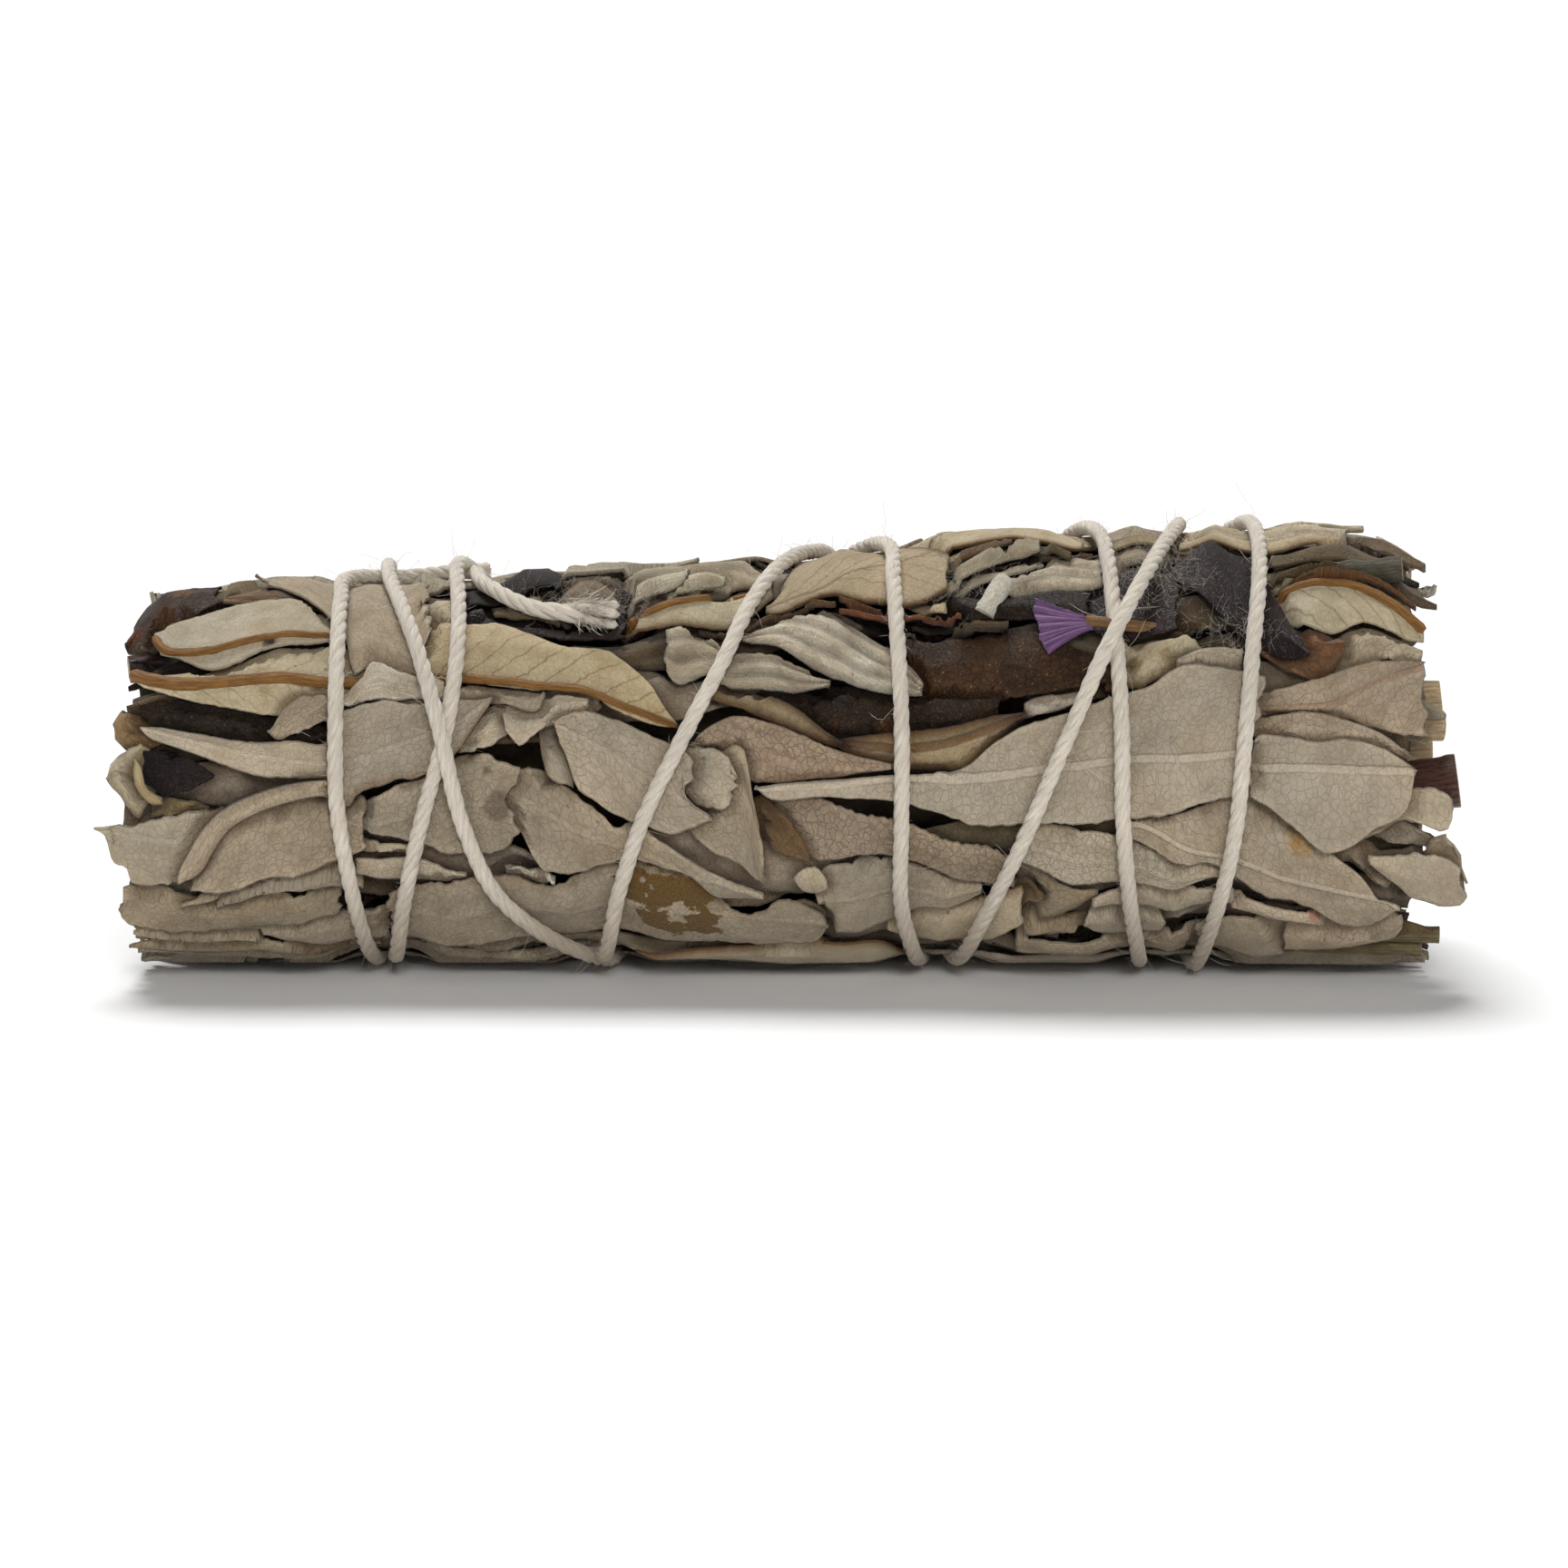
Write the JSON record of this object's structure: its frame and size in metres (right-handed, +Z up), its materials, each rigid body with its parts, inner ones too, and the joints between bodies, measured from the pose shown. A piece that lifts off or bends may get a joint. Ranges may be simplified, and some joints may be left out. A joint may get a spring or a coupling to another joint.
{
  "type": "sage bunch",
  "caption": "Small bunch of dried white sage leaves and stems with a papery flower, tied round with cotton string and lying on its side.",
  "frame": {"origin": "on the surface the bunch lies on, under the middle of its bounding box", "axes": "+X along the bunch towards its cut stems, -Y towards its seen side, +Z up"},
  "size_m": [0.0976, 0.0358, 0.0332],
  "materials": {
    "pale_leaf": "soft, velvety",
    "taupe_leaf": "soft, velvety",
    "cream_leaf": "dry, veined",
    "tan_leaf": "dry",
    "olive_leaf": "dry",
    "stained_leaf": "dry, stained",
    "dark_leaf": "resinous, slightly glossy",
    "purple_leaf": "resinous, glossy",
    "woolly_leaf": "woolly",
    "flower": "papery",
    "stem": "dry bark",
    "inner_leaf": "dry",
    "string": "twisted cotton"
  },
  "bodies": {
    "root": {"long_pale_leaf": "pale_leaf", "front_leaf_right": "pale_leaf", "broad_leaf_right_low": "taupe_leaf", "round_leaf": "pale_leaf", "pale_leaf_left": "pale_leaf", "cream_veined_leaf": "cream_leaf", "broad_leaf_left_low": "pale_leaf", "twisted_leaf": "taupe_leaf", "taupe_leaf_low": "taupe_leaf", "stained_leaf": "stained_leaf", "pink_grey_leaf": "taupe_leaf", "mauve_leaf": "taupe_leaf", "pale_leaf_low": "pale_leaf", "cream_leaf_low": "cream_leaf", "veined_leaf_low": "pale_leaf", "olive_leaf_low": "olive_leaf", "pale_spear_leaf": "pale_leaf", "cream_leaf_left": "cream_leaf", "flower": "flower", "flower_tube": "tan_leaf", "woolly_plug": "woolly_leaf", "cut_twig": "stem", "pale_stem_end": "stem", "dark_stem_end": "stem", "grey_leaf_left": "pale_leaf", "flat_leaf_top_left": "taupe_leaf", "cream_green_leaf": "cream_leaf", "pinkish_leaf_right": "taupe_leaf", "red_brown_leaf": "tan_leaf", "oval_leaf_right": "taupe_leaf", "folded_leaf_end": "pale_leaf", "bottom_leaf_right": "taupe_leaf", "bottom_leaf_left": "tan_leaf", "tan_leaf_left_low": "tan_leaf", "bottom_leaf_centre": "cream_leaf", "purple_leaf_left": "purple_leaf", "dark_leaf_left": "dark_leaf", "cream_leaf_top": "cream_leaf", "s_curved_leaf": "cream_leaf", "woolly_leaf_centre": "woolly_leaf", "folded_tan_leaf": "tan_leaf", "dark_leaf_centre": "dark_leaf", "dark_brown_leaf": "dark_leaf", "cream_leaf_top_right": "cream_leaf", "woolly_leaf_top_right": "woolly_leaf", "dark_hairy_leaf": "purple_leaf", "dark_purple_leaf": "purple_leaf", "woolly_leaf_top_end": "woolly_leaf", "back_leaf_top_left": "taupe_leaf", "back_leaf_top_right": "pale_leaf", "back_leaf_middle_left": "pale_leaf", "back_leaf_middle_right": "taupe_leaf", "back_leaf_low_left": "tan_leaf", "back_leaf_low_right": "pale_leaf", "rest_leaf_left": "taupe_leaf", "rest_leaf_right": "pale_leaf", "string": "string", "inner_leaves": "inner_leaf"}
  },
  "joints": []
}
